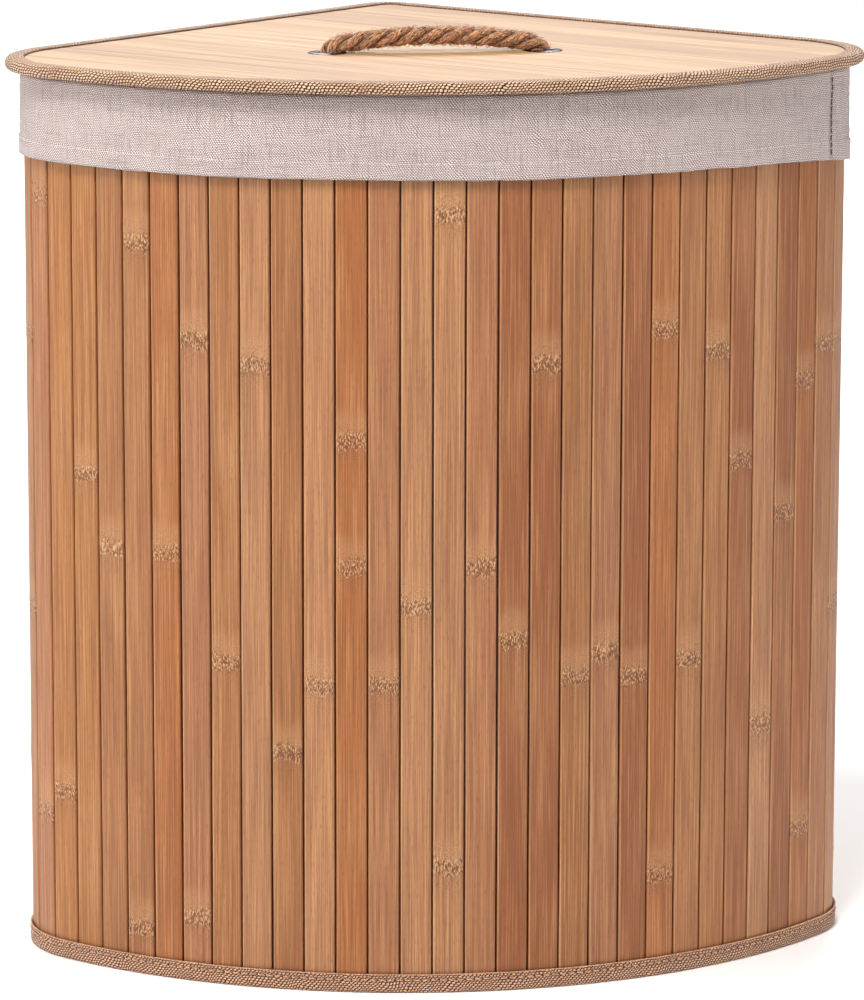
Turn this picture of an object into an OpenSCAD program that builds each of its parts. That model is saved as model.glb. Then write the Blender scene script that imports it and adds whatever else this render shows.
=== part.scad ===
// Corner laundry hamper. A quarter-round wall of upright bamboo slats stands on a taped base,
// a lift-out cloth liner folds over the rim, and a loose lid with a rope handle rests on the fold.
// Millimetres. The origin is on the floor under the middle of the lid's outline.
// +Z is up, the curved front faces -Y and the square back corner points to +Y.

/* [Body] */
// Depth from the sharp back corner to the middle of the curved front
body_depth = 384; // [380:1:388]
// Radius of the curved front
front_radius = 290; // [286:1:296]
// Radius of the two side corners
side_radius = 58; // [56:1:62]
// Radius of the back corner
back_radius = 6; // [5:0.5:8]
// Length of the slats
slat_length = 489.5; // [420:0.5:489.5]

/* [Slats] */
// Distance from one slat to the next across the curved front
front_pitch = 17.6; // [17.5:0.1:17.8]
// Width of one slat
slat_width = 16.7; // [15:0.1:16.7]
// Thickness of one slat
slat_thick = 3; // [2.5:0.1:3]
// Chamfer along a slat's outer edges
slat_chamfer = 0.6; // [0.5:0.1:0.8]

/* [Cloth and tape] */
// Thickness of the cloth that the slats are glued to
backing_thick = 1; // [0.6:0.1:1]
// Thickness of the tape round the base
base_tape_thick = 1; // [0.8:0.1:1]
// Height of the tape round the base
base_tape_height = 10.5; // [8:0.5:14]
// Thickness of the tape over the rim
rim_tape_thick = 0.6; // [0.4:0.1:0.6]
// Height of the tape over the rim
rim_tape_height = 22; // [20:1:30]

/* [Frame] */
// Thickness of the bent wooden hoop inside the rim
hoop_thick = 2.5; // [2:0.1:3]
// Height of the bent wooden hoop
hoop_height = 18; // [14:1:19]
// Thickness of the base board
board_thick = 3; // [2:0.5:3]

/* [Liner] */
// Thickness of one layer of liner cloth
liner_thick = 1; // [0.6:0.1:1]
// Thickness of the doubled cloth of the cuff
cuff_thick = 1.2; // [1:0.1:1.2]
// How far the cuff hangs down the outside
cuff_drop = 46; // [30:1:80]
// Heading at which the liner's side seams stand, 90 being straight out to the side
seam_heading = 78; // [60:1:120]

/* [Lid] */
// How far the lid's edge stands out beyond the slats
lid_overhang = 10.5; // [10:0.5:12]
// Thickness of the lid at its bound edge
lid_thick = 6.8; // [6:0.1:9]
// Width of the lid's edge tape
lid_tape_width = 10.5; // [9.5:0.5:11]
// Thickness of the lid's edge tape
lid_tape_thick = 1; // [0.8:0.1:1]

/* [Rope handle] */
// Diameter of the rope
rope_d = 10; // [8:0.5:10]
// Distance between the two eyelets
rope_span = 120; // [100:1:130]
// Height of the rope's centreline over the lid
rope_rise = 9.4; // [9.4:0.1:20]
// How far the rope pulls up before its knots meet the lid
rope_travel = 18; // [10:1:24]
// Diameter of a knot
knot_d = 21; // [18:1:24]
// Place of the handle from the middle of the lid, towards the front
handle_forward = 50; // [20:1:80]

/* [Hidden] */
// Slats on each half of the wall: on the curved front, round the side corner, along the back
front_half_count = 14;
corner_count = 5;
back_count = 16;

FRONT = [for (i = [1 : 2 * front_half_count]) str("front_slat_", i < 10 ? "0" : "", i)];

bamboo = [0.80, 0.58, 0.37];
bamboo_dark = [0.72, 0.48, 0.30];
tape_tan = [0.66, 0.53, 0.40];
cloth_grey = [0.82, 0.77, 0.73];
pale_bamboo = [0.93, 0.81, 0.66];
plain_wood = [0.78, 0.66, 0.50];
lining_cloth = [0.88, 0.85, 0.80];
nickel = [0.70, 0.70, 0.72];
jute = [0.72, 0.56, 0.38];

// The plan outline, measured from the sharp back corner: a front arc, a round at each side,
// two straight backs at 45 degrees and a small round at the back. A heading is the direction
// that a point of the outline faces, counted from straight ahead (0) to straight back (180).
arc_y = front_radius - body_depth;
root2 = sqrt(2);
side_c0 = side_radius * side_radius + root2 * arc_y * side_radius + arc_y * arc_y
    - pow(front_radius - side_radius, 2);
back_tangent = (-root2 * arc_y + sqrt(2 * arc_y * arc_y - 4 * side_c0)) / 2;
side_c = [(back_tangent - side_radius) / root2, -(back_tangent + side_radius) / root2];
arc_heading = atan2(side_c.x, arc_y - side_c.y);
back_heading = 135;

// Lengths along one half of the outline. The slats behind the front divide what is left up to
// corner_gap before the sharp back corner, where the two backs' last slats nearly meet.
front_len = front_radius * arc_heading * PI / 180;
side_len = side_radius * (back_heading - arc_heading) * PI / 180;
corner_gap = 4;
front_slats_len = front_half_count * front_pitch;
slats_len = front_len + side_len + back_tangent - corner_gap;
rest_pitch = (slats_len - front_slats_len) / (corner_count + back_count);

// The outline's own middle is brought over the origin
middle_y = (body_depth + back_radius * (root2 - 1)) / 2;

// Clearances
tape_clear = 0.7;
glue = 0.02;
cloth_clear = 0.5;
cuff_clear = 0.3;
board_clear = 0.4;
rest_gap = 0.4;

// Layers of the wall, as distances out from the slats' faces
backing_out = -slat_thick - glue;
backing_in = backing_out - backing_thick;
hoop_in = backing_in - hoop_thick;
rim_in = hoop_in - rim_tape_thick;
rim_out = tape_clear + rim_tape_thick;
base_in = backing_in - base_tape_thick;
base_out = tape_clear + base_tape_thick;
liner_out = rim_in - cloth_clear;
liner_in = liner_out - liner_thick;
cuff_in = rim_out + cuff_clear;
cuff_out = cuff_in + cuff_thick;

// Heights
slat_top = base_tape_thick + slat_length;
rim_top = slat_top + rim_tape_thick;
board_top = base_tape_thick + board_thick;
liner_bottom = board_top + rest_gap;
fold_bottom = rim_top + cloth_clear;
fold_top = fold_bottom + cuff_thick;
lid_bottom = fold_top + rest_gap;
lid_top = lid_bottom + lid_thick;
panel_bottom = lid_bottom + lid_tape_thick;
panel_top = lid_top - lid_tape_thick;
lining_thick = 0.5;
lining_bottom = panel_bottom - lining_thick;

// Eyelets and rope
rope_clear = 0.5;
barrel_wall = 1;
flange_width = 4.5;
eyelet_bore = rope_d / 2 + rope_clear;
eyelet_barrel = eyelet_bore + barrel_wall;
eyelet_flange = eyelet_barrel + flange_width;
flange_thick = 0.8;
washer_bottom = lining_bottom - flange_thick;
rope_bend = 9;
rope_z = lid_top + rope_rise;
knot_flat = sqrt(pow(knot_d / 2, 2) - pow(rope_d / 2, 2));
knot_top = washer_bottom - rope_travel;
knot_z = knot_top - knot_flat;
tail_len = 12;

// Steps of the outline's arcs, and how far a cutting tool reaches past what it cuts
front_steps = 24;
side_front_steps = 5;
side_back_steps = 8;
back_steps = 5;
cut_past = 5;
cut_height = 20;
$fn = 64;

// Points of an arc about c from heading a to heading b, leaving out the first when skip is 1
function arc_points(c, r, a, b, n, skip = 0) =
    [for (i = [skip : n]) let (h = a + (b - a) * i / n) c + r * [sin(h), -cos(h)]];
function reversed(list) = [for (i = [len(list) - 1 : -1 : 0]) list[i]];
function mirrored(list) = [for (p = reversed(list)) [-p.x, p.y]];

// Right half of the front up to the side corner, and the right side corner from there on
function half_front(off) =
    arc_points([0, arc_y], front_radius + off, 0, arc_heading, front_steps);
function side_arc(off, a, b, n, skip = 0) = arc_points(side_c, side_radius + off, a, b, n, skip);
function back_arc(off) = let (r = max(back_radius + off, 1))
    arc_points([0, root2 * (off - r)], r, back_heading, 180, back_steps);
function half_back(off, skip = 0) = concat(
    side_arc(off, seam_heading, back_heading, side_back_steps, skip),
    back_arc(off));
function front_half_span(off) = concat(
    half_front(off), side_arc(off, arc_heading, seam_heading, side_front_steps, 1));
function front_span(off) = let (h = front_half_span(off))
    concat(mirrored([for (i = [1 : len(h) - 1]) h[i]]), h);
function half_outline(off) = concat(front_half_span(off), half_back(off, 1));
function outline(off) = let (h = half_outline(off))
    concat(h, mirrored([for (i = [1 : len(h) - 2]) h[i]]));

// Point and heading on the right half of the outline, s along it from the middle of the front
function wall_heading(s) =
    s < front_len ? s / front_radius * 180 / PI :
    s < front_len + side_len ? arc_heading + (s - front_len) / side_radius * 180 / PI :
    back_heading;
function wall_point(s) = let (h = wall_heading(s))
    s < front_len ? [0, arc_y] + front_radius * [sin(h), -cos(h)] :
    s < front_len + side_len ? side_c + side_radius * [sin(h), -cos(h)] :
    let (t = back_tangent - (s - front_len - side_len)) t * [1, -1] / root2;

module on_plan(z) { translate([0, middle_y, z]) children(); }

module plate(off, z, thick) { on_plan(z) linear_extrude(thick) polygon(outline(off)); }

module ring(off_out, off_in, z, height) {
    on_plan(z) linear_extrude(height) difference() {
        polygon(outline(off_out));
        polygon(outline(off_in));
    }
}

module front_band(off_out, off_in, z, height) {
    on_plan(z) linear_extrude(height)
        polygon(concat(front_span(off_out), reversed(front_span(off_in))));
}

module back_band(off_out, off_in, z, height) {
    on_plan(z) linear_extrude(height)
        polygon(concat(half_back(off_out), reversed(half_back(off_in))));
}

module slat(s) {
    p = wall_point(s);
    half = slat_width / 2;
    on_plan(base_tape_thick) translate([p.x, p.y, 0]) rotate(wall_heading(s))
        linear_extrude(slat_length) polygon([
            [-half, slat_thick], [half, slat_thick], [half, slat_chamfer],
            [half - slat_chamfer, 0], [-half + slat_chamfer, 0], [-half, slat_chamfer]]);
}

// Slats of the right half's side and back, number first to first + count - 1 behind the front
module rest_slats(first, count) {
    for (i = [first : first + count - 1]) slat(front_slats_len + (i + 0.5) * rest_pitch);
}

// Front slats are counted from the left end of the front to the right end
module front_slat(i) {
    k = i - front_half_count;
    color(i % 3 == 0 ? bamboo_dark : bamboo)
        if (k > 0) slat((k - 0.5) * front_pitch);
        else mirror([1, 0, 0]) slat((0.5 - k) * front_pitch);
}

module right_corner_slats() { color(bamboo) rest_slats(0, corner_count); }
module left_corner_slats() { color(bamboo) mirror([1, 0, 0]) right_corner_slats(); }
module right_back_slats() { color(bamboo) rest_slats(corner_count, back_count); }
module left_back_slats() { color(bamboo) mirror([1, 0, 0]) right_back_slats(); }

module backing_cloth() {
    color(cloth_grey) ring(backing_out, backing_in, base_tape_thick, slat_length);
}

module rim_binding() {
    color(tape_tan) union() {
        ring(rim_out, rim_in, slat_top, rim_tape_thick);
        ring(rim_out, tape_clear, slat_top - rim_tape_height, rim_tape_height);
        ring(hoop_in, rim_in, slat_top - rim_tape_height, rim_tape_height);
    }
}

module rim_hoop() {
    color(plain_wood) ring(backing_in, hoop_in, slat_top - hoop_height, hoop_height);
}

module base_binding() {
    color(tape_tan) union() {
        ring(base_out, base_in, 0, base_tape_thick);
        ring(base_out, tape_clear, 0, base_tape_height);
        ring(backing_in, base_in, 0, base_tape_height);
    }
}

module base_cloth() { color(cloth_grey) plate(base_in, 0, base_tape_thick); }
module base_board() {
    color(plain_wood) plate(base_in - board_clear, base_tape_thick, board_thick);
}

module liner_front() {
    color(cloth_grey) front_band(liner_out, liner_in, liner_bottom, fold_bottom - liner_bottom);
}
module liner_right() {
    color(cloth_grey) back_band(liner_out, liner_in, liner_bottom, fold_bottom - liner_bottom);
}
module liner_left() { mirror([1, 0, 0]) liner_right(); }
module liner_floor() { color(cloth_grey) plate(liner_in, liner_bottom, liner_thick); }
module liner_fold() { color(cloth_grey) ring(cuff_in, liner_in, fold_bottom, cuff_thick); }
module cuff_front() {
    color(cloth_grey) front_band(cuff_out, cuff_in, fold_top - cuff_drop, cuff_drop);
}
module cuff_right() {
    color(cloth_grey) back_band(cuff_out, cuff_in, fold_top - cuff_drop, cuff_drop);
}
module cuff_left() { mirror([1, 0, 0]) cuff_right(); }

// Places its children at the right eyelet, z up from the floor
module at_eyelet(z) { translate([rope_span / 2, -handle_forward, z]) children(); }

module eyelet_holes(r) {
    for (side = [0, 1]) mirror([side, 0, 0])
        at_eyelet(lid_bottom - cut_past) cylinder(r = r, h = cut_height);
}

module lid_panel() {
    color(pale_bamboo) difference() {
        plate(lid_overhang - lid_tape_thick, panel_bottom, panel_top - panel_bottom);
        eyelet_holes(eyelet_barrel);
    }
}

module lid_lining() {
    color(lining_cloth) difference() {
        plate(lid_overhang - lid_tape_width, lining_bottom, lining_thick);
        eyelet_holes(eyelet_barrel);
    }
}

module lid_binding() {
    color(tape_tan) difference() {
        ring(lid_overhang, lid_overhang - lid_tape_width, lid_bottom, lid_thick);
        plate(lid_overhang - lid_tape_thick, panel_bottom, panel_top - panel_bottom);
    }
}

module right_eyelet() {
    color(nickel) difference() {
        union() {
            at_eyelet(panel_top) cylinder(r = eyelet_flange, h = flange_thick);
            at_eyelet(washer_bottom) cylinder(r = eyelet_barrel, h = panel_top - washer_bottom);
        }
        at_eyelet(washer_bottom - cut_past) cylinder(r = eyelet_bore, h = cut_height);
    }
}
module left_eyelet() { mirror([1, 0, 0]) right_eyelet(); }

module right_washer() {
    color(nickel) difference() {
        at_eyelet(washer_bottom) cylinder(r = eyelet_flange, h = flange_thick);
        at_eyelet(washer_bottom - cut_past) cylinder(r = eyelet_barrel, h = cut_height);
    }
}
module left_washer() { mirror([1, 0, 0]) right_washer(); }

// Half of the rope: up from the knot, a quarter bend, then level to the middle
module half_rope() {
    at_eyelet(knot_top) cylinder(d = rope_d, h = rope_z - rope_bend - knot_top);
    translate([rope_span / 2 - rope_bend, -handle_forward, rope_z - rope_bend]) rotate([90, 0, 0])
        rotate_extrude(angle = 90) translate([rope_bend, 0]) circle(d = rope_d);
    translate([0, -handle_forward, rope_z]) rotate([0, 90, 0])
        cylinder(d = rope_d, h = rope_span / 2 - rope_bend);
}

module rope() {
    color(jute) union() {
        half_rope();
        mirror([1, 0, 0]) half_rope();
    }
}

// A stopper knot below the lid, cut flat where the rope enters, with its short tail
module right_knot() {
    color(jute) union() {
        intersection() {
            at_eyelet(knot_z) sphere(d = knot_d);
            at_eyelet(knot_z - knot_d) cylinder(d = 2 * knot_d, h = knot_d + knot_flat);
        }
        at_eyelet(knot_z - knot_flat - tail_len) cylinder(d = rope_d, h = tail_len + knot_flat);
    }
}
module left_knot() { mirror([1, 0, 0]) right_knot(); }

for (i = [1 : 2 * front_half_count]) front_slat(i);
left_corner_slats();
right_corner_slats();
left_back_slats();
right_back_slats();
backing_cloth();
rim_binding();
rim_hoop();
base_binding();
base_cloth();
base_board();
liner_front();
liner_left();
liner_right();
liner_floor();
liner_fold();
cuff_front();
cuff_left();
cuff_right();
lid_panel();
lid_lining();
lid_binding();
left_eyelet();
right_eyelet();
left_washer();
right_washer();
rope();
left_knot();
right_knot();
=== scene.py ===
"""Corner laundry hamper with a lid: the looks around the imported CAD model.

Metres, +Z up. The curved front faces -Y and the square back corner points to +Y.
"""

import math
import random

import bmesh
import bpy
from mathutils import Matrix, Vector, noise


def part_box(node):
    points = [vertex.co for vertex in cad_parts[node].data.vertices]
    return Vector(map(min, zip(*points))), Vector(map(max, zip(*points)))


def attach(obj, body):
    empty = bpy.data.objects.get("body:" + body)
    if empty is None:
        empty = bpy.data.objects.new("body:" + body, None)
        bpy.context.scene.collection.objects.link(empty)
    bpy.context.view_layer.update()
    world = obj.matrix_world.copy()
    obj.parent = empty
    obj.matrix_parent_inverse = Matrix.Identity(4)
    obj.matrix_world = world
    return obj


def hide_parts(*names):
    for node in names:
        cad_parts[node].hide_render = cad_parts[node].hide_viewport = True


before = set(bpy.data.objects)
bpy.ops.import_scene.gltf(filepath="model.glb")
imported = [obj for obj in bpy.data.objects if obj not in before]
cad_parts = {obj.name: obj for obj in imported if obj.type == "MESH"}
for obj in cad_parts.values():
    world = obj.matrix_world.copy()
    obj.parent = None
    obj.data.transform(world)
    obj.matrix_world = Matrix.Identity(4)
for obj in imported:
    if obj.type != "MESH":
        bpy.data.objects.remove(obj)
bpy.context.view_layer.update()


def heights(node):
    """Lowest and highest point of a CAD node."""
    low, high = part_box(node)
    return low.z, high.z


# Plan outline, as in the CAD source; MIDDLE_Y centres its box on the origin
BODY_DEPTH = 0.384
FRONT_RADIUS = 0.290
SIDE_RADIUS = 0.058
BACK_RADIUS = 0.006
BACK_RADIUS_LEAST = 0.001
FRONT_PITCH = 0.0176
FRONT_HALF_COUNT = 14
CORNER_COUNT = 5
BACK_COUNT = 16
CORNER_GAP = 0.004
SEAM_HEADING = math.radians(78)
BACK_HEADING = math.radians(135)
ROOT2 = math.sqrt(2)
SHEET_CENTRE_BACK = 0.22
ARC_Y = FRONT_RADIUS - BODY_DEPTH
MIDDLE_Y = (BODY_DEPTH + BACK_RADIUS * (ROOT2 - 1)) / 2

SIDE_TERM = (
    SIDE_RADIUS**2
    + ROOT2 * ARC_Y * SIDE_RADIUS
    + ARC_Y**2
    - (FRONT_RADIUS - SIDE_RADIUS) ** 2
)
BACK_TANGENT = (-ROOT2 * ARC_Y + math.sqrt(2 * ARC_Y**2 - 4 * SIDE_TERM)) / 2
SIDE_X = (BACK_TANGENT - SIDE_RADIUS) / ROOT2
SIDE_Y = -(BACK_TANGENT + SIDE_RADIUS) / ROOT2
ARC_HEADING = math.atan2(SIDE_X, ARC_Y - SIDE_Y)

# Slats
SLAT_HALF = 0.00835
SLAT_THICK = 0.003
FRONT_SLATS = [f"front_slat_{i:02d}" for i in range(1, 2 * FRONT_HALF_COUNT + 1)]
SLAT_LOW, SLAT_HIGH = heights(FRONT_SLATS[0])

# Other heights and places from the CAD
LID_LOW, LID_HIGH = heights("lid_binding")
LID_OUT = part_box("lid_binding")[1].x - (SIDE_X + SIDE_RADIUS)
CUFF_LOW, CUFF_HIGH = heights("cuff_front")
LINER_LOW = heights("liner_floor")[0]
RIM_LOW, RIM_HIGH = heights("rim_binding")
TAPE_HIGH = heights("base_binding")[1]
EYELET = (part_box("right_eyelet")[0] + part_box("right_eyelet")[1]) / 2
ROPE_RADIUS = 0.005

# Tones of the front slats from left to right: six groups, sorted from each slat's mean colour
SLAT_TONES = "ggttoktptpokppkrrtkrottrprok"
TONES = {
    "p": (176, 124, 84),
    "g": (171, 111, 57),
    "t": (161, 105, 60),
    "k": (167, 111, 73),
    "r": (146, 85, 44),
    "o": (163, 97, 46),
}

# Heights of the knuckles of the front slats from left to right, in millimetres, worked out one by one
KNUCKLES = [
    [96], [277], [238], [408, 26], [239], [357, 36], [181],
    [345], [133], [171], [306, 237], [172], [216], [429, 71],
    [237], [196], [347], [174], [186], [171], [361, 57],
    [177], [346], [283], [133], [250], [322, 67], [340],
]
LEFT_CORNER_KNUCKLES = [81, 428]

# Liner: offset of its middle line, headings of its side seams, and how far the cuff hangs down at the corners
LINER_OFF = -0.0086
CUFF_OFF = 0.0021
RIGHT_SEAM_HEADING = math.radians(45.5)
LEFT_SEAM_HEADING = math.radians(108.4)
CUFF_CORNER_HEADING = math.radians(83)
RIGHT_DROOP = 0.0086
LEFT_DROOP = -0.0009


# ---------------- outline and meshes


def half_length(off):
    """Length of half of the outline at an offset out from the slats' faces."""
    back_r = max(BACK_RADIUS + off, BACK_RADIUS_LEAST)
    front = (FRONT_RADIUS + off) * ARC_HEADING
    side = (SIDE_RADIUS + off) * (BACK_HEADING - ARC_HEADING)
    return front + side + BACK_TANGENT - (back_r - off) + back_r * math.pi / 4


def outline_point(s, off=0.0):
    """Point and outward direction at s along the outline, counted from the middle of the front."""
    half = half_length(off)
    if abs(s) > half:
        s -= math.copysign(2 * half, s)
    side = 1 if s >= 0 else -1
    s = abs(s)
    back_r = max(BACK_RADIUS + off, BACK_RADIUS_LEAST)
    front = (FRONT_RADIUS + off) * ARC_HEADING
    corner = (SIDE_RADIUS + off) * (BACK_HEADING - ARC_HEADING)
    leg = BACK_TANGENT - (back_r - off)
    if s < front:
        heading = s / (FRONT_RADIUS + off)
        x, y, r = 0.0, ARC_Y, FRONT_RADIUS + off
    elif s < front + corner:
        heading = ARC_HEADING + (s - front) / (SIDE_RADIUS + off)
        x, y, r = SIDE_X, SIDE_Y, SIDE_RADIUS + off
    elif s < front + corner + leg:
        heading = BACK_HEADING
        t = BACK_TANGENT - (s - front - corner)
        x, y, r = t / ROOT2, -t / ROOT2, off
    else:
        heading = min(BACK_HEADING + (s - front - corner - leg) / back_r, math.pi)
        x, y, r = 0.0, -ROOT2 * (back_r - off), back_r
    out = Vector((math.sin(heading), -math.cos(heading)))
    point = Vector((x, y)) + r * out
    return Vector((side * point.x, point.y + MIDDLE_Y)), Vector((side * out.x, out.y))


def heading_length(heading, off=0.0):
    """Length along the outline from the middle of the front to a heading on the side round."""
    return (FRONT_RADIUS + off) * ARC_HEADING + (SIDE_RADIUS + off) * (heading - ARC_HEADING)


def mesh_piece(name, verts, faces, body, material, replaces=()):
    """A new piece from lists of points and faces, which rides on a body."""
    mesh = bpy.data.meshes.new(name)
    mesh.from_pydata([tuple(v) for v in verts], [], faces)
    mesh.update()
    mesh.shade_smooth()
    mesh.materials.append(material)
    piece = bpy.data.objects.new(name, mesh)
    bpy.context.scene.collection.objects.link(piece)
    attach(piece, body)
    if replaces:
        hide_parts(*replaces)
    return piece


def point_vectors(piece, name, values):
    """Stores one vector for each vertex, which the materials read by name."""
    data = piece.data.attributes.new(name, "FLOAT_VECTOR", "POINT").data
    data.foreach_set("vector", [x for v in values for x in v])


def grid_faces(rows, columns, wrap=False):
    """Quads of a grid of points that is stored row by row."""
    last = columns if wrap else columns - 1
    faces = []
    for i in range(rows - 1):
        for j in range(last):
            k = (j + 1) % columns
            a, b = i * columns, (i + 1) * columns
            faces.append((a + j, a + k, b + k, b + j))
    return faces


def tube_faces(start, rows, around):
    """Faces of a capped tube whose points are stored ring by ring from a first index."""
    last = start + (rows - 1) * around
    faces = [tuple(start + k for k in f) for f in grid_faces(rows, around, True)]
    faces.append(tuple(start + k for k in reversed(range(around))))
    faces.append(tuple(last + k for k in range(around)))
    return faces


def path_lengths(path):
    """Distance along a list of points, for each point."""
    lengths = [0.0]
    for a, b in zip(path, path[1:]):
        lengths.append(lengths[-1] + math.dist(a, b))
    return lengths


def band(profile, base_off, s_from, s_to, step, shape=None, closed=True):
    """Sweeps a profile of (out, z) points along the outline from s_from to s_to.

    Gives the points, the faces and (along, across, 0) for each point. shape(s, out, z) may
    move a point to another (out, z). A closed profile makes a closed solid with end caps.
    """
    count = max(2, round((s_to - s_from) / step) + 1)
    across = path_lengths(profile)
    verts, cloth = [], []
    for i in range(count):
        s = s_from + (s_to - s_from) * i / (count - 1)
        point, out = outline_point(s, base_off)
        for (o, z), t in zip(profile, across):
            if shape:
                o, z = shape(s, o, z)
            p = point + (o - base_off) * out
            verts.append((p.x, p.y, z))
            cloth.append((s, t, 0.0))
    faces = grid_faces(count, len(profile), closed)
    if closed:
        n, last = len(profile), (count - 1) * len(profile)
        faces.append(tuple(range(n)))
        faces.append(tuple(last + n - 1 - j for j in range(n)))
    return verts, faces, cloth


def fix_normals(piece):
    """Turns the faces of a closed piece to face outwards."""
    bm = bmesh.new()
    bm.from_mesh(piece.data)
    bmesh.ops.recalc_face_normals(bm, faces=bm.faces)
    bm.to_mesh(piece.data)
    bm.free()


def solidify(piece, thickness, offset=0.0):
    """Gives a single-layer cloth its thickness."""
    modifier = piece.modifiers.new("thickness", "SOLIDIFY")
    modifier.thickness = thickness
    modifier.offset = offset


def ripple(x, y, z=0.0):
    """Smooth noise from -1 to 1."""
    return noise.noise(Vector((x, y, z)))


# ---------------- materials


def linear(rgb):
    """A display colour of 0 to 255 a channel as linear RGBA."""
    c = [v / 255 for v in rgb]
    c = [v / 12.92 if v <= 0.04045 else ((v + 0.055) / 1.055) ** 2.4 for v in c]
    return (*c, 1.0)


class Nodes:
    """A material's nodes, with short calls for the ones that these materials use."""

    def __init__(self, name, roughness, **constants):
        self.material = bpy.data.materials.new(name)
        self.material.use_nodes = True
        self.tree = self.material.node_tree
        self.shader = self.tree.nodes["Principled BSDF"]
        self.shader.inputs["Roughness"].default_value = roughness
        for key, value in constants.items():
            self.shader.inputs[key.replace("_", " ")].default_value = value

    def put(self, socket, value):
        """Links an output to a socket, or sets the socket's number, vector or colour."""
        if isinstance(value, bpy.types.NodeSocket):
            self.tree.links.new(value, socket)
        else:
            socket.default_value = value

    def attribute(self, name, output="Vector"):
        node = self.tree.nodes.new("ShaderNodeAttribute")
        node.attribute_name = name
        return node.outputs[output]

    def place(self):
        return self.tree.nodes.new("ShaderNodeTexCoord").outputs["Object"]

    def split(self, vector):
        node = self.tree.nodes.new("ShaderNodeSeparateXYZ")
        self.put(node.inputs[0], vector)
        return node.outputs

    def scaled(self, vector, scale, turn=0.0):
        """A vector turned about Z and scaled on each axis."""
        node = self.tree.nodes.new("ShaderNodeMapping")
        node.inputs["Rotation"].default_value = (0, 0, turn)
        node.inputs["Scale"].default_value = scale
        self.put(node.inputs["Vector"], vector)
        return node.outputs[0]

    def maths(self, kind, a, b=0.0, c=0.0):
        node = self.tree.nodes.new("ShaderNodeMath")
        node.operation = kind
        for socket, value in zip(node.inputs, (a, b, c)):
            self.put(socket, value)
        return node.outputs[0]

    def plus(self, a, b):
        return self.maths("ADD", a, b)

    def minus(self, a, b):
        return self.maths("SUBTRACT", a, b)

    def times(self, a, b):
        return self.maths("MULTIPLY", a, b)

    def size(self, a):
        return self.maths("ABSOLUTE", a)

    def tint(self, share, colour, rgb):
        """Mixes a display colour into a colour."""
        return self.mix(share, colour, linear(rgb))

    def noise(self, vector, scale, detail=3.0, roughness=0.5):
        node = self.tree.nodes.new("ShaderNodeTexNoise")
        self.put(node.inputs["Vector"], vector)
        node.inputs["Scale"].default_value = scale
        node.inputs["Detail"].default_value = detail
        node.inputs["Roughness"].default_value = roughness
        return node.outputs["Fac"]

    def spread(self, value, low, high, to_low=0.0, to_high=1.0):
        """Maps low..high to to_low..to_high, smoothly and clamped."""
        node = self.tree.nodes.new("ShaderNodeMapRange")
        node.interpolation_type = "SMOOTHSTEP"
        self.put(node.inputs["Value"], value)
        limits = zip(("From Min", "From Max", "To Min", "To Max"), (low, high, to_low, to_high))
        for key, limit in limits:
            self.put(node.inputs[key], limit)
        return node.outputs[0]

    def mix(self, share, a, b, blend="MIX"):
        node = self.tree.nodes.new("ShaderNodeMix")
        node.data_type = "RGBA"
        node.blend_type = blend
        self.put(node.inputs["Factor"], share)
        self.put(node.inputs[6], a)
        self.put(node.inputs[7], b)
        return node.outputs[2]

    def bump(self, height, distance, below=None):
        node = self.tree.nodes.new("ShaderNodeBump")
        node.inputs["Strength"].default_value = 1.0
        node.inputs["Distance"].default_value = distance
        self.put(node.inputs["Height"], height)
        if below is not None:
            self.put(node.inputs["Normal"], below)
        return node.outputs[0]

    def finish(self, colour, normal=None, roughness=None):
        self.put(self.shader.inputs["Base Color"], colour)
        if normal is not None:
            self.put(self.shader.inputs["Normal"], normal)
        if roughness is not None:
            self.put(self.shader.inputs["Roughness"], roughness)
        return self.material


def slat_material():
    """Bamboo strips: upright fibres, darker streaks, speckled knuckles, pale cut edges with a painted
    highlight on the left bevels, and painted shade on the right bevels and down in the gaps.
    """
    n = Nodes("bamboo_slat", 0.5)
    grain = n.attribute("grain")
    along = n.split(grain)
    tone = n.attribute("tone")
    knuckle = n.split(n.attribute("knuckle"))
    fibre = n.noise(n.scaled(grain, (1750, 14, 900)), 1.0, 4.0, 0.65)
    streak = n.noise(n.scaled(grain, (430, 4, 700)), 1.0, 3.0, 0.55)
    cloud = n.noise(n.scaled(grain, (45, 8, 500)), 1.0, 2.0)
    dash = n.noise(n.scaled(grain, (2100, 190, 300)), 1.0, 1.0)
    colour = n.mix(n.spread(streak, 0.42, 0.7, 0.0, 0.32), tone, linear((124, 72, 40)))
    colour = n.tint(n.spread(cloud, 0.42, 0.75, 0.0, 0.3), colour, (194, 142, 94))
    colour = n.tint(n.spread(fibre, 0.40, 0.56, 0.45, 0.0), colour, (108, 62, 32))
    colour = n.tint(n.spread(fibre, 0.52, 0.68, 0.0, 0.42), colour, (206, 154, 102))
    colour = n.tint(n.spread(dash, 0.60, 0.70, 0.0, 0.38), colour, (112, 64, 34))
    rise, near = knuckle_rise(n, grain, along[1], knuckle)
    colour, specks = knuckle_colour(n, grain, rise, near, colour)
    # painted light on the slat edges: the left bevels are pale cut edges with a painted highlight, as from
    # light on the left
    cut_edge_and_painted_light = n.times(n.spread(along[0], -0.0073, -0.0077), n.spread(cloud, 0.2, 0.7, 0.42, 0.12))
    colour = n.tint(cut_edge_and_painted_light, colour, (232, 182, 134))
    # painted shade on the right bevels, the side turned away from the light
    cut_edge_and_painted_light = n.times(n.spread(along[0], 0.0074, 0.0080), 0.4)
    colour = n.tint(cut_edge_and_painted_light, colour, (124, 72, 40))
    # painted shade on the slat sides down in the gaps between the slats
    colour = n.tint(n.spread(knuckle[2], 0.0008, 0.0013), colour, (134, 64, 28))
    height = n.plus(n.times(fibre, 0.6), specks)
    return n.finish(colour, n.bump(height, 0.00022), n.spread(fibre, 0.3, 0.7, 0.62, 0.42))


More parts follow.
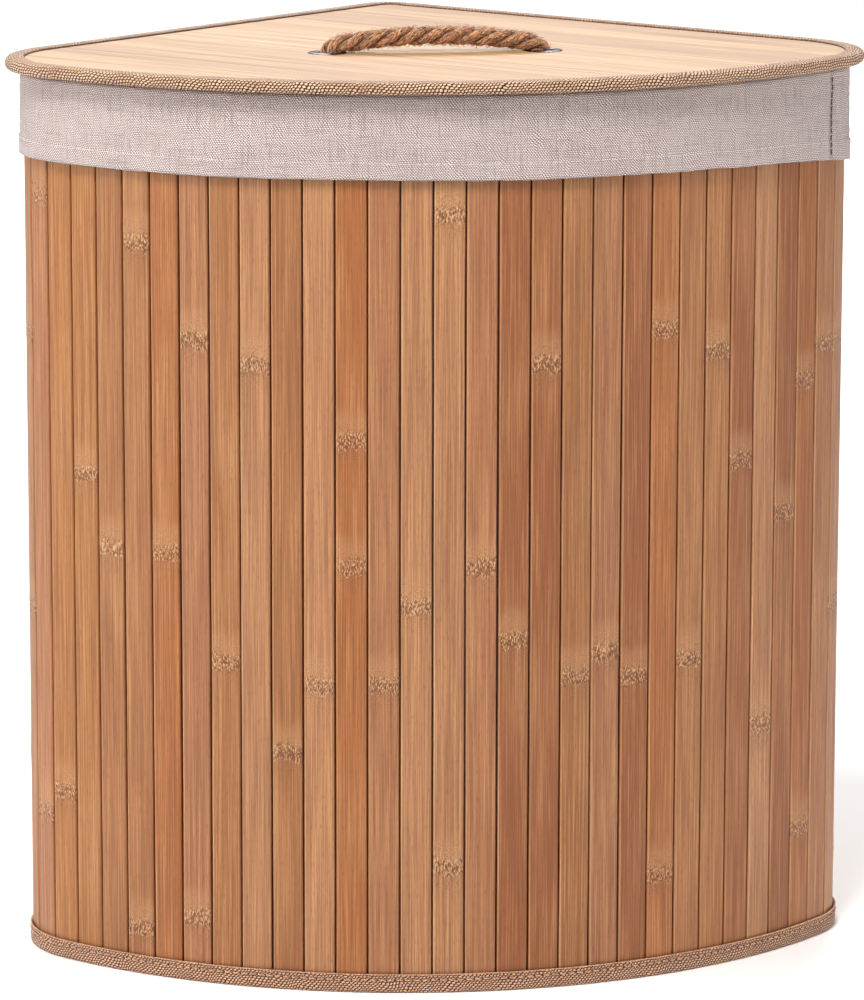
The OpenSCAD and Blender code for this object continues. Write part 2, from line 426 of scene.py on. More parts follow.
def knuckle_rise(n, grain, height, knuckle):
    """Height above the nearer knuckle of the slat, ragged across its width, and its size."""
    ragged = n.noise(n.scaled(grain, (240, 60, 700)), 1.0, 3.0)
    shift = n.spread(ragged, 0.2, 0.8, -0.0022, 0.0022)
    first = n.plus(n.minus(height, knuckle[0]), shift)
    second = n.plus(n.minus(height, knuckle[1]), shift)
    nearer = n.maths("LESS_THAN", n.size(second), n.size(first))
    step = n.times(nearer, n.minus(second, first))
    rise = n.plus(first, step)
    return rise, n.size(rise)


def knuckle_colour(n, grain, rise, near, colour):
    """A pale speckled zone above each knuckle and rows of dark and pale flecks on it."""
    fleck = n.noise(n.scaled(grain, (1500, 560, 800)), 1.0, 2.0, 0.6)
    dust = n.noise(n.scaled(grain, (1500, 1100, 500)), 1.0, 1.0)
    halo = n.times(n.spread(rise, -0.001, 0.004), n.spread(rise, 0.021, 0.009))
    colour = n.tint(n.times(halo, 0.26), colour, (206, 156, 110))
    dots = n.times(n.spread(near, 0.019, 0.007), n.spread(dust, 0.5, 0.64, 0.0, 0.5))
    colour = n.tint(dots, colour, (116, 70, 40))
    core = n.times(n.spread(rise, -0.0064, -0.0034), n.spread(rise, 0.0068, 0.0026))
    dark = n.times(core, n.spread(fleck, 0.49, 0.58, 0.0, 0.75))
    colour = n.tint(dark, colour, (86, 46, 24))
    light = n.times(core, n.spread(fleck, 0.47, 0.38, 0.0, 0.7))
    colour = n.tint(light, colour, (220, 176, 128))
    return colour, n.times(n.times(fleck, core), 1.8)


def weave(n, period, row, slant=0.25):
    """Staggered thread crowns from the piece's own (along, across): 1 on a crown, 0 between them."""
    cloth = n.attribute("cloth")
    parts = n.split(cloth)
    wander = n.times(n.noise(n.scaled(cloth, (70, 70, 0)), 1.0, 2.0), period * 2.2)
    v = n.maths("DIVIDE", n.plus(parts[1], wander), row)
    inside = n.maths("FRACT", v)
    u = n.maths("DIVIDE", n.plus(parts[0], wander), period)
    u = n.plus(u, n.times(n.maths("FLOOR", v), 0.5))
    u = n.maths("FRACT", n.plus(u, n.times(inside, slant)))
    a, b = [n.maths("POWER", n.size(n.minus(n.times(x, 2.0), 1.0)), 2.0) for x in (u, inside)]
    crown = n.minus(n.minus(1.0, a), n.times(b, 0.8))
    return cloth, n.spread(crown, -0.5, 0.9)


def tape_material(name, light, dark, hole, period=0.0021, row=0.0015):
    """Coarse woven tape with a painted highlight on the thread crowns and painted shade in the holes between
    them.
    """
    n = Nodes(name, 0.8, Sheen_Weight=0.2, Sheen_Roughness=0.5)
    cloth, crown = weave(n, period, row)
    patch = n.noise(n.scaled(cloth, (45, 150, 0)), 1.0, 3.0)
    thread = n.noise(n.scaled(cloth, (500, 900, 0)), 1.0, 2.0)
    # painted shade in the holes between the threads and a painted highlight on the thread crowns
    colour = n.mix(n.spread(crown, 0.36, 0.78), linear(hole), linear(dark))
    colour = n.tint(n.spread(crown, 0.68, 0.98), colour, light)
    colour = n.tint(n.spread(patch, 0.4, 0.75, 0.0, 0.4), colour, dark)
    colour = n.tint(n.spread(thread, 0.5, 0.7, 0.0, 0.4), colour, hole)
    return n.finish(colour, n.bump(crown, 0.0006))


def cloth_material(name, light, dark, hole, period=0.00125, row=0.0007):
    """Woven cloth with uneven threads both ways, a painted highlight on the thread crowns and painted shade
    in the holes between them.
    """
    n = Nodes(name, 0.9, Sheen_Weight=0.25, Sheen_Roughness=0.6)
    cloth, crown = weave(n, period, row, 0.12)
    slub = n.noise(n.scaled(cloth, (45, 1300, 0)), 1.0, 2.0, 0.6)
    warp = n.noise(n.scaled(cloth, (1300, 45, 0)), 1.0, 2.0, 0.6)
    patch = n.noise(n.scaled(cloth, (20, 40, 0)), 1.0, 3.0)
    fleck = n.noise(n.scaled(cloth, (800, 800, 0)), 1.0, 1.0)
    # painted shade in the holes between the threads and a painted highlight on the thread crowns
    colour = n.mix(n.spread(crown, 0.3, 0.62), linear(hole), linear(dark))
    colour = n.tint(n.spread(crown, 0.5, 0.8), colour, light)
    colour = n.tint(n.spread(slub, 0.52, 0.72, 0.0, 0.4), colour, dark)
    colour = n.tint(n.spread(warp, 0.5, 0.7, 0.0, 0.45), colour, dark)
    colour = n.tint(n.spread(fleck, 0.6, 0.75, 0.0, 0.5), colour, light)
    colour = n.tint(n.spread(patch, 0.4, 0.8, 0.0, 0.16), colour, dark)
    rough = n.plus(crown, n.times(slub, 0.5))
    return n.finish(colour, n.bump(rough, 0.0003))


def board_material(name, base, dark, pale, turn, strip_width=0.021):
    """Planed bamboo board: glued strips, long grain lines and a satin surface."""
    n = Nodes(name, 0.42, Coat_Weight=0.12, Coat_Roughness=0.35)
    place = n.scaled(n.place(), (1, 1, 1), turn)
    parts = n.split(place)
    strip = n.maths("FLOOR", n.maths("DIVIDE", parts[1], strip_width))
    white = n.tree.nodes.new("ShaderNodeTexWhiteNoise")
    white.noise_dimensions = "1D"
    n.put(white.inputs["W"], strip)
    shade = white.outputs["Value"]
    warp = n.noise(n.scaled(place, (6, 30, 6)), 1.0, 2.0)
    combine = n.tree.nodes.new("ShaderNodeCombineXYZ")
    n.put(combine.inputs[0], parts[0])
    n.put(combine.inputs[1], n.plus(parts[1], n.times(warp, 0.006)))
    n.put(combine.inputs[2], n.times(strip, 0.37))
    line = n.noise(n.scaled(combine.outputs[0], (5, 260, 40)), 1.0, 4.0, 0.6)
    fine = n.noise(n.scaled(combine.outputs[0], (30, 1300, 40)), 1.0, 2.0)
    colour = n.mix(n.spread(shade, 0, 1, 0.0, 0.5), linear(base), linear(dark))
    colour = n.tint(n.spread(line, 0.45, 0.68, 0.0, 0.85), colour, dark)
    colour = n.tint(n.spread(line, 0.42, 0.28, 0.0, 0.6), colour, pale)
    colour = n.tint(n.spread(fine, 0.48, 0.7, 0.0, 0.5), colour, dark)
    height = n.plus(fine, line)
    return n.finish(colour, n.bump(height, 0.00008), n.spread(line, 0.3, 0.7, 0.5, 0.38))


def jute_material():
    """Hairy jute yarn, with painted shade down between the strands, so the crowns of the strands stand
    lighter.
    """
    n = Nodes("jute_rope", 0.9, Sheen_Weight=0.25, Sheen_Roughness=0.5)
    yarn = n.attribute("cloth")
    depth = n.split(yarn)[2]
    fibre = n.noise(n.scaled(yarn, (260, 1900, 0)), 1.0, 4.0, 0.7)
    patch = n.noise(n.place(), 220.0, 3.0)
    fleck = n.noise(n.scaled(yarn, (700, 2600, 0)), 1.0, 1.0)
    colour = n.mix(n.spread(fibre, 0.46, 0.56), linear((38, 16, 7)), linear((244, 164, 106)))
    colour = n.tint(n.spread(patch, 0.4, 0.7, 0.0, 0.4), colour, (146, 92, 58))
    colour = n.tint(n.spread(fleck, 0.54, 0.66, 0.0, 0.8), colour, (255, 216, 170))
    # painted shade down between the strands, from how far out on its strand each point lies
    colour = n.tint(n.spread(depth, 0.15, 0.9, 0.92, 0.0), colour, (40, 19, 9))
    return n.finish(colour, n.bump(fibre, 0.0009))


def thread_material(name, light, dark):
    """Twisted sewing thread."""
    n = Nodes(name, 0.8, Sheen_Weight=0.2)
    twist = n.noise(n.place(), 1500.0, 2.0)
    return n.finish(n.mix(n.spread(twist, 0.4, 0.6), linear(dark), linear(light)))


def nickel_material():
    """Nickel-plated brass with fine turning marks and a few dull spots."""
    n = Nodes("eyelet_nickel", 0.28, Metallic=1.0)
    dull = n.noise(n.place(), 900.0, 3.0)
    fine = n.noise(n.scaled(n.place(), (300, 300, 6000)), 1.0, 2.0)
    colour = n.mix(n.spread(dull, 0.4, 0.7), linear((92, 84, 88)), linear((58, 52, 56)))
    return n.finish(colour, n.bump(fine, 0.00003), n.spread(dull, 0.3, 0.7, 0.22, 0.42))


SLAT = slat_material()
# three colours for each woven material: the painted highlight on the thread crowns, the threads' own colour,
# and the painted shade in the holes between them; the cloths' pale flecks take the first colour too
TAPE = tape_material("binding_tape", (240, 196, 158), (118, 74, 47), (18, 8, 4))
BASE_TAPE = tape_material("base_tape", (226, 176, 140), (138, 90, 62), (34, 17, 10), 0.0021, 0.0013)
LINER = cloth_material("liner_cloth", (231, 213, 208), (116, 98, 95), (10, 6, 6), 0.0014, 0.0009)
BACKING = cloth_material("backing_cloth", (134, 78, 44), (100, 54, 28), (56, 26, 12), 0.0016, 0.0009)
LINING = cloth_material("lining_cloth", (236, 230, 220), (196, 186, 172), (130, 120, 108), 0.0016, 0.0009)
LID_WOOD = board_material("lid_bamboo", (195, 156, 108), (146, 98, 56), (218, 184, 138), math.radians(45))
PLAIN_WOOD = board_material("plain_wood", (206, 172, 128), (170, 132, 92), (222, 192, 150), 0.0, 0.4)
JUTE = jute_material()
NICKEL = nickel_material()
TAPE_THREAD = thread_material("tape_thread", (226, 180, 144), (170, 122, 90))
DARK_THREAD = thread_material("seam_thread", (96, 74, 64), (54, 38, 32))
HEM_THREAD = thread_material("hem_thread", (250, 242, 236), (214, 200, 192))
# painted shade of the needle holes; the dark line along the lid tape's inner edge takes this colour too
HOLE_DARK = thread_material("needle_hole", (98, 56, 34), (52, 27, 15))


# ---------------- slats


def slat_section():
    """Half-rounded cross-section of a slat as (across, depth), with its crowned outer face."""
    half, crown = SLAT_HALF, 0.00012
    face = [-1.0, -0.7, -0.35, 0.0, 0.35, 0.7, 1.0]
    outer = [(u * 0.0076, -crown * u * u) for u in face]
    right = [(0.00795, -0.00026), (0.00822, -0.00062), (half, -0.0012), (half, -SLAT_THICK)]
    left = [(-u, d) for u, d in reversed(right)]
    return outer + right + left


def add_slat(verts, faces, data, s, knuckles, tone, rng):
    """One slat at s along the outline: edges that wander, a slight bow and swollen knuckles."""
    section = slat_section()
    point, out = outline_point(s)
    across = Vector((-out.y, out.x))
    seed = rng.uniform(0, 50)
    bow = rng.uniform(-0.00018, 0.00018)
    rows = 46
    start, n = len(verts), len(section)
    for i in range(rows):
        z = SLAT_LOW + (SLAT_HIGH - SLAT_LOW) * i / (rows - 1)
        share = (z - SLAT_LOW) / (SLAT_HIGH - SLAT_LOW)
        swell = max(math.exp(-(((z - k) / 0.004) ** 2)) for k in knuckles)
        shift = bow * math.sin(math.pi * share) + 0.00012 * ripple(seed, z * 14)
        for u, d in section:
            width = 1 + 0.008 * ripple(seed + (7 if u > 0 else 13), z * 22) + 0.006 * swell
            lift = 0.00022 * swell if d > -0.001 else 0.0
            p = point + (u * width + shift) * across + (d + lift) * out
            verts.append((p.x, p.y, z))
            data["grain"].append((u, z, seed))
            data["tone"].append(tone)
            # the third value is the depth below the outer face, from which the slat material paints shade on
            # the sides down in the gaps
            data["knuckle"].append((knuckles[0], knuckles[-1], -d))
    faces.extend(tuple(start + k for k in f) for f in grid_faces(rows, n, True))
    last = start + (rows - 1) * n
    faces.append(tuple(start + j for j in range(n)))
    faces.append(tuple(last + n - 1 - j for j in range(n)))


def slat_piece(name, places, node, rng):
    """A piece of one or more slats; places holds (s, knuckle heights, tone letter)."""
    verts, faces = [], []
    data = {"grain": [], "tone": [], "knuckle": []}
    for s, knuckles, tone in places:
        shade = rng.uniform(0.975, 1.025)
        colour = linear([c * shade for c in TONES[tone]])[:3]
        add_slat(verts, faces, data, s, knuckles, colour, rng)
    piece = mesh_piece(name, verts, faces, "wall", SLAT, [node])
    for key, values in data.items():
        point_vectors(piece, key, values)
    fix_normals(piece)
    return piece


def make_slats():
    rng = random.Random(7)
    for i, node in enumerate(FRONT_SLATS):
        s = (i - FRONT_HALF_COUNT + 0.5) * FRONT_PITCH
        heights = [h / 1000 for h in KNUCKLES[i]]
        slat_piece(f"bamboo_{node}", [(s, heights, SLAT_TONES[i])], node, rng)
    front = FRONT_HALF_COUNT * FRONT_PITCH
    whole = heading_length(BACK_HEADING) + BACK_TANGENT - CORNER_GAP
    pitch = (whole - front) / (CORNER_COUNT + BACK_COUNT)
    groups = (("corner", 0, CORNER_COUNT), ("back", CORNER_COUNT, BACK_COUNT))
    for side, sign in (("left", -1), ("right", 1)):
        for group, first, count in groups:
            places = []
            for k in range(first, first + count):
                heights = [rng.uniform(0.03, 0.21), rng.uniform(0.26, 0.44)]
                if sign < 0 and k == 0:
                    heights = [h / 1000 for h in LEFT_CORNER_KNUCKLES]
                places.append((sign * (front + (k + 0.5) * pitch), heights, rng.choice("pggttkko")))
            node = f"{side}_{group}_slats"
            slat_piece(f"bamboo_{node}", places, node, rng)


# ---------------- tapes and stitches


def tape_piece(name, profile, base_off, body, material, replaces, step=0.004):
    """A closed tape swept round the whole outline, its ends meeting at the back corner."""
    half = half_length(base_off)
    verts, faces, cloth = band(profile, base_off, -half, half, step)
    piece = mesh_piece(name, verts, faces, body, material, replaces)
    point_vectors(piece, "cloth", cloth)
    fix_normals(piece)
    return piece


def tube(verts, faces, path, radii, sides=6):
    """Adds a capped tube of the given radii round a path of points."""
    start = len(verts)
    side_axis = Vector((0, 0, 1))
    for i, p in enumerate(path):
        ahead = path[min(i + 1, len(path) - 1)] - path[max(i - 1, 0)]
        ahead.normalize()
        a = ahead.cross(side_axis)
        if a.length < 0.1:
            a = ahead.cross(Vector((1, 0, 0)))
        a.normalize()
        b = ahead.cross(a)
        for k in range(sides):
            t = 2 * math.pi * k / sides
            verts.append(p + radii[i] * (math.cos(t) * a + math.sin(t) * b))
    faces.extend(tube_faces(start, len(path), sides))


def stitches(name, body, material, route, length, gap, radius, dip, rng):
    """A line of stitches along route(distance) -> (point, out), until route gives None.

    Each stitch rises out of the cloth, lies on it and dips back in.
    """
    verts, faces = [], []
    at = gap / 2
    while route(at + length) is not None:
        path, radii = [], []
        lean = rng.uniform(-0.00012, 0.00012)
        for k in range(7):
            share = k / 6
            point, out = route(at + length * share)
            sink = dip * (abs(2 * share - 1) ** 4)
            lift = Vector((0, 0, lean * (2 * share - 1)))
            path.append(point + lift + out * (radius * 0.7 - sink))
            radii.append(radius * (0.75 + 0.25 * math.sin(math.pi * share)))
        tube(verts, faces, path, radii)
        at += length + gap
    return mesh_piece(name, verts, faces, body, material)


def round_route(off, margin, place):
    """Route round the outline: distance -> place(s), until the back corner is reached again."""
    half = half_length(off)

    def route(distance):
        s = -half + margin + distance
        return None if s > half - margin else place(s)

    return route


def ring_route(off, z, wobble):
    """Route round the outline at an offset and height, with a slight wave."""

    def place(s):
        p, out = outline_point(s, off)
        height = z + wobble * ripple(s * 55, z * 100)
        return Vector((p.x, p.y, height)), Vector((out.x, out.y, 0))

    return round_route(off, 0.006, place)


def flat_route(off, z, up):
    """Route round the outline on a level face that looks up (1) or down (-1)."""

    def place(s):
        p = outline_point(s, off + 0.0002 * ripple(s * 60, 3))[0]
        return Vector((p.x, p.y, z)), Vector((0, 0, up))

    return round_route(off, 0.006, place)


def needle_holes(name, body, off, z, pitch, first, radius, wobble):
    """Dark dimples where each stitch goes through the tape: painted shade down in the needle holes."""
    route = ring_route(off, z, wobble)
    verts, faces = [], []
    at = first
    while route(at) is not None:
        point, out = route(at)
        path = [point - out * radius, point + out * 0.00004, point + out * 0.0001]
        tube(verts, faces, path, [radius, radius, radius * 0.5], 8)
        at += pitch
    return mesh_piece(name, verts, faces, body, HOLE_DARK)


def make_base_tape():
    """Tape folded round the lower edge: outside, underneath and inside."""
    outer = [(0.00085, TAPE_HIGH), (0.0014, TAPE_HIGH + 0.0001), (0.00172, TAPE_HIGH - 0.0005)]
    outer += [(0.0018, 0.0083), (0.0011, 0.0074), (0.0018, 0.0065), (0.0019, 0.0035)]
    outer += [(0.0018, 0.0014), (0.0014, 0.0004), (0.0006, 0.0), (-0.0042, 0.0)]
    outer += [(-0.0049, 0.0003), (-0.0050, 0.001), (-0.0050, TAPE_HIGH)]
    inner = [(-0.0042, TAPE_HIGH), (-0.0042, 0.001), (0.0006, 0.001), (0.00085, 0.0014)]
    tape_piece("base_tape", outer + inner, -0.0050, "wall", BASE_TAPE, ["base_binding"])
    rng = random.Random(11)
    route = ring_route(0.00172, 0.0074, 0.0004)
    stitches("base_stitches", "wall", TAPE_THREAD, route, 0.0036, 0.0012,
             0.0004, 0.0009, rng)
    # painted shade in the needle holes along the base tape's stitch line
    needle_holes("base_needle_holes", "wall", 0.0016, 0.0074, 0.0048, 0.0, 0.00055, 0.0004)
    route = ring_route(0.00145, TAPE_HIGH - 0.0001, 0.0002)
    stitches("base_tape_selvage", "wall", TAPE_THREAD, route, 0.0012, 0.0005,
             0.00038, 0.0004, rng)


def make_rim_tape():
    """Thin tape over the top of the wall, hidden by the cuff until the liner is lifted."""
    low, high = RIM_LOW, RIM_HIGH
    outer = [(0.0008, low), (0.00125, low + 0.0002), (0.0013, low + 0.004), (0.0013, high - 0.0012)]
    outer += [(0.0009, high - 0.0002), (0.0, high), (-0.0062, high), (-0.0070, high - 0.0003)]
    outer += [(-0.0072, high - 0.0012), (-0.0072, low)]
    inner = [(-0.0066, low), (-0.0066, high - 0.0007), (0.0006, high - 0.0007), (0.0008, high - 0.0014)]
    tape_piece("rim_tape", outer + inner, -0.0072, "wall", BASE_TAPE, ["rim_binding"])
    rng = random.Random(12)
    route = ring_route(0.00125, low + 0.004, 0.0003)
    stitches("rim_stitches", "wall", TAPE_THREAD, route, 0.0037, 0.0008,
             0.00022, 0.0004, rng)


def make_lid_tape():
    """Rounded woven tape over the lid's edge, with a ragged dark line along its inner edge."""
    out, low, high = LID_OUT, LID_LOW, LID_HIGH
    width = 0.0105
    outer = [(out - width, high - 0.0001), (out - width + 0.0008, high + 0.0001)]
    outer += [(out - 0.0066, high + 0.0001), (out - 0.0042, high - 0.0001)]
    mid, nose = (low + high) / 2, (high - low) / 2 + 0.0001
    for k in range(9):
        t = math.radians(66 - 132 * k / 8)
        outer.append((out - 0.0034 + 0.0034 * math.cos(t) ** 0.8, mid + nose * math.sin(t)))
    outer += [(out - 0.0042, low + 0.0001), (out - width, low + 0.0001)]
    edge = out - 0.001
    inner = [(out - width, low + 0.00095), (edge - 0.0002, low + 0.00095), (edge, low + 0.0014)]
    inner += [(edge, high - 0.0014), (edge - 0.0002, high - 0.00095), (out - width, high - 0.00095)]
    tape_piece("lid_tape", outer + inner, out - width, "lid", TAPE, ["lid_binding"])
    rng = random.Random(13)
    # a ragged dark line along the tape's inner edge, on top and underneath, in the needle holes' dark colour
    for side, z, up in (("top", high - 0.00095, 1), ("bottom", low + 0.00095, -1)):
        route = flat_route(out - width - 0.0002, z, up)
        stitches(f"lid_{side}_edge_line", "lid", HOLE_DARK, route, 0.0030, 0.0004,
                 0.00034, 0.0003, rng)
    route = flat_route(out - width + 0.003, low + 0.0001, -1)
    stitches("lid_under_stitches", "lid", TAPE_THREAD, route, 0.0037, 0.0008,
             0.00024, 0.0005, rng)


# ---------------- cloth


RIGHT_SEAM = heading_length(RIGHT_SEAM_HEADING, LINER_OFF)
LEFT_SEAM = -heading_length(LEFT_SEAM_HEADING, LINER_OFF)
END_TURN = heading_length(SEAM_HEADING, LINER_OFF) - RIGHT_SEAM


def cuff_droop(s):
    """How far the cuff hangs down by the side corners; it is level again at the back corner."""
    half = half_length(LINER_OFF)
    corner = heading_length(CUFF_CORNER_HEADING, LINER_OFF)
    if abs(s) > half:
        s -= math.copysign(2 * half, s)
    if abs(s) < corner:
        share = (abs(s) / corner) ** 5
    else:
        back = (abs(s) - corner) / (half - corner)
        share = 0.5 + 0.5 * math.cos(math.pi * back)
    return (RIGHT_DROOP if s > 0 else LEFT_DROOP) * share


def cuff_shape(s, o, z):
    """Soft waves of the hanging cuff, its stitched hem, seam pucker and the droop at the sides."""
    if o < 0.0005 or z > CUFF_HIGH - 0.003:
        return o, z
    hang = min(1.0, (CUFF_HIGH - z) / (CUFF_HIGH - CUFF_LOW))
    corner = heading_length(CUFF_CORNER_HEADING, LINER_OFF)
    side = min(1.0, abs(s) / corner)
    wave = 0.0005 * ripple(s * 16, 2.0) + 0.00025 * ripple(s * 55, z * 30)
    crease = 0.00045 * ripple(s * 10 + 5, z * 190) * side**5
    seam = min(abs(s - RIGHT_SEAM), abs(s - LEFT_SEAM))
    pucker = 0.0006 * ripple(s * 20, z * 150) * math.exp(-((seam / 0.022) ** 2))
    tuck = -0.0007 * math.exp(-((seam / 0.0012) ** 2))
    hem = CUFF_LOW + 0.009 + 0.0006 * ripple(s * 20, 6.0)
    ridge = 0.0004 * math.exp(-(((z - hem) / 0.0009) ** 2))
    groove = -0.0004 * math.exp(-(((z - hem - 0.0018) / 0.0009) ** 2))
    fold = 0.0003 if z < hem else 0.0
    out = o + hang * (0.0004 + abs(wave) * 1.6) + (crease + pucker) * hang + tuck + ridge + groove + fold
    edge = 0.0008 * ripple(s * 9, 8.0) + 0.0004 * ripple(s * 40, 4.0)
    return max(out, 0.00175), z - hang * (cuff_droop(s) - edge)


def inner_shape(s, o, z):
    """Loose upright folds of the bag inside the wall, which only move inwards."""
    if o > -0.007 or z > RIM_HIGH - 0.004:
        return o, z
    down = min(1.0, (RIM_HIGH - z) / 0.12)
    fold = 0.0014 * (1 + ripple(s * 26, z * 3.0)) + 0.0007 * (1 + ripple(s * 70, z * 6.0))
    near_floor = min(1.0, max(0.0, (z - LINER_LOW) / 0.03))
    return o - fold * down * near_floor, z


def panel_shape(s, o, z):
    """The whole panel: cuff outside, bag inside."""
    return cuff_shape(s, *inner_shape(s, o, z))


def panel_profile():
    """Route of a liner panel from its hem up the outside, over the rim and down to the floor."""
    steps = [CUFF_LOW + 0.0015 * k for k in range(29)]
    outside = [(CUFF_OFF, z) for z in steps]
    over = [(0.00205, CUFF_HIGH - 0.0024), (0.0017, CUFF_HIGH - 0.0012), (0.0010, CUFF_HIGH - 0.0006)]
    over += [(o / 1000, CUFF_HIGH - 0.0005) for o in (0, -1.5, -3, -4.5, -6)]
    over += [(-0.0073, CUFF_HIGH - 0.0007), (-0.0079, CUFF_HIGH - 0.0014), (-0.0081, CUFF_HIGH - 0.0026)]
    top = CUFF_HIGH - 0.006
    inside = [(-0.0081, top - (top - LINER_LOW - 0.004) * (k / 40)) for k in range(41)]
    floor = [(-0.0085, LINER_LOW + 0.0018), (-0.0098, LINER_LOW + 0.0007)]
    return outside + over + inside + floor


def liner_panel(name, s_from, s_to, base_off, replaces):
    """One sewn panel of the liner: a single sheet with its thickness."""
    profile = panel_profile()
    verts, faces, cloth = band(profile, base_off, s_from, s_to, 0.004, panel_shape, False)
    piece = mesh_piece(name, verts, faces, "liner", LINER, replaces)
    point_vectors(piece, "cloth", cloth)
    solidify(piece, 0.0006)
    return piece


def plan_sheet(name, off, z, body, material, replaces, wave, holes=(), up=1):
    """A flat cloth cut to the outline, made of rings that shrink to the middle."""
    rings, around = 56, 300
    half = half_length(off)
    centre = Vector((0.0, MIDDLE_Y - SHEET_CENTRE_BACK))
    verts, cloth = [], []
    for i in range(rings + 1):
        share = 1 - i / (rings + 0.5)
        for j in range(around):
            p = outline_point(-half + 2 * half * j / around, off)[0]
            q = centre + (p - centre) * share
            rise = wave * ripple(q.x * 30, q.y * 30, z * 9) * min(1.0, (1 - share) * 8)
            verts.append((q.x, q.y, z + up * abs(rise)))
            cloth.append((q.x, q.y, 0.0))
    faces = grid_faces(rings + 1, around, True)
    faces.append(tuple(rings * around + j for j in range(around)))
    faces = [f for f in faces if clear_of(verts[f[0]], holes)]
    piece = mesh_piece(name, verts, faces, body, material, replaces)
    point_vectors(piece, "cloth", cloth)
    solidify(piece, 0.0005)
    return piece


def clear_of(point, holes):
    """Whether a point is outside every hole, which are (x, y, radius)."""
    return all(math.dist(point[:2], (x, y)) > r for x, y, r in holes)


def make_liner():
    """The bag sits turned a little to the left round the wall, with its back seam turned too."""
    half = half_length(LINER_OFF)
    back = half - END_TURN
    liner_panel("liner_front_cloth", LEFT_SEAM, RIGHT_SEAM, LINER_OFF,
                ["liner_front", "liner_fold", "cuff_front"])
    liner_panel("liner_left_cloth", back - 2 * half, LEFT_SEAM, LINER_OFF, ["liner_left", "cuff_left"])
    liner_panel("liner_right_cloth", RIGHT_SEAM, back, LINER_OFF, ["liner_right", "cuff_right"])
    plan_sheet("liner_floor_cloth", -0.0088, LINER_LOW + 0.0005, "liner", LINER,
               ["liner_floor"], 0.0015)
    make_cuff_stitches()


def make_cuff_stitches():
    """Dark stitches down both side seams of the cuff, and a pale line along its hem."""
    rng = random.Random(21)
    for side, seam in (("left", LEFT_SEAM), ("right", RIGHT_SEAM)):
        stitches(f"cuff_{side}_seam_stitches", "liner", DARK_THREAD, seam_route(seam),
                 0.0027, 0.0009, 0.00042, 0.0003, rng)
    stitches("cuff_hem_stitches", "liner", HEM_THREAD, hem_route(), 0.0026, 0.0006,
             0.00013, 0.0003, rng)


def cuff_spot(s, z):
    """Point and outward direction on the outside of the cuff."""
    out, height = cuff_shape(s, CUFF_OFF, z)
    p, normal = outline_point(s, LINER_OFF)
    p = p + (out - LINER_OFF + 0.0003) * normal
    return Vector((p.x, p.y, height)), Vector((normal.x, normal.y, 0))


def seam_route(s):
    """Route down the cuff at one side seam, from just under the fold to the hem."""

    def route(distance):
        z = CUFF_HIGH - 0.004 - distance
        return None if z < CUFF_LOW + 0.0005 else cuff_spot(s + 0.0014 * ripple(z * 60, 1.5), z)

    return route


def hem_route():
    """Route along the cuff's hem, all round."""
    return round_route(LINER_OFF, 0.004, lambda s: cuff_spot(s, CUFF_LOW + 0.009))


def make_backing():
    """Cloth behind the slats, drawn a little into each gap, and the taped-in base cloth."""
    off = -0.0036

    def pull(s, o, z):
        return o + 0.00018 * math.cos(2 * math.pi * s / FRONT_PITCH), z

    low, high = heights("backing_cloth")
    profile = [(off, low + (high - low) * k / 30) for k in range(31)]
    half = half_length(off)
    verts, faces, cloth = band(profile, off, -half, half, FRONT_PITCH / 6, pull, False)
    piece = mesh_piece("backing_sheet", verts, faces, "wall", BACKING, ["backing_cloth"])
    point_vectors(piece, "cloth", cloth)
    solidify(piece, 0.0005)
    plan_sheet("base_sheet", -0.0052, 0.0006, "wall", BACKING, ["base_cloth"], 0.0003)


def make_lid_lining():
    holes = [(side * EYELET.x, EYELET.y, 0.0088) for side in (-1, 1)]
    z = sum(heights("lid_lining")) / 2
    plan_sheet("lid_lining_cloth", LID_OUT - 0.0107, z, "lid", LINING, ["lid_lining"],
               0.0002, holes, -1)


# ---------------- eyelets and rope


def lathe(name, centre_x, centre_y, profile, body, material, replaces, sides=48):
    """Turns a closed profile of (radius, z) points about an upright axis."""
    verts = []
    for i in range(sides):
        a = 2 * math.pi * i / sides
        for r, z in profile:
            verts.append((centre_x + r * math.cos(a), centre_y + r * math.sin(a), z))
    n = len(profile)
    faces = [
        (i * n + j, i * n + (j + 1) % n, (i + 1) % sides * n + (j + 1) % n, (i + 1) % sides * n + j)
        for i in range(sides)
        for j in range(n)
    ]
    piece = mesh_piece(name, verts, faces, body, material, replaces)
    fix_normals(piece)
    return piece


def make_eyelets():
    """Pressed eyelets with rolled flanges on the lid, and their washers underneath."""
    low, high = heights("right_eyelet")
    top = high - 0.0008
    bore, barrel, flange = 0.0055, 0.0064, 0.0109
    shape = [(bore, low), (bore, top - 0.0004), (bore + 0.0004, top + 0.0003), (bore + 0.0014, high - 0.0001)]
    shape += [(bore + 0.0024, high), (flange - 0.0012, top + 0.0005), (flange - 0.0003, top + 0.0003)]
    shape += [(flange, top + 0.0001), (flange - 0.0004, top), (barrel, top - 0.0001), (barrel, low)]
    washer_low, washer_high = heights("right_washer")
    mid = (washer_low + washer_high) / 2
    ring = [(barrel + 0.0002, washer_high), (barrel + 0.0003, washer_low + 0.0001)]
    ring += [(barrel + 0.0012, washer_low), (flange - 0.0012, mid - 0.0001), (flange, mid + 0.0001)]
    ring += [(flange, washer_high - 0.0001), (flange - 0.0003, washer_high)]
    for side, sign in (("left", -1), ("right", 1)):
        x, y = sign * EYELET.x, EYELET.y
        lathe(f"{side}_eyelet_rolled", x, y, shape, "lid", NICKEL, [f"{side}_eyelet"])
        lathe(f"{side}_washer_pressed", x, y, ring, "lid", NICKEL, [f"{side}_washer"])


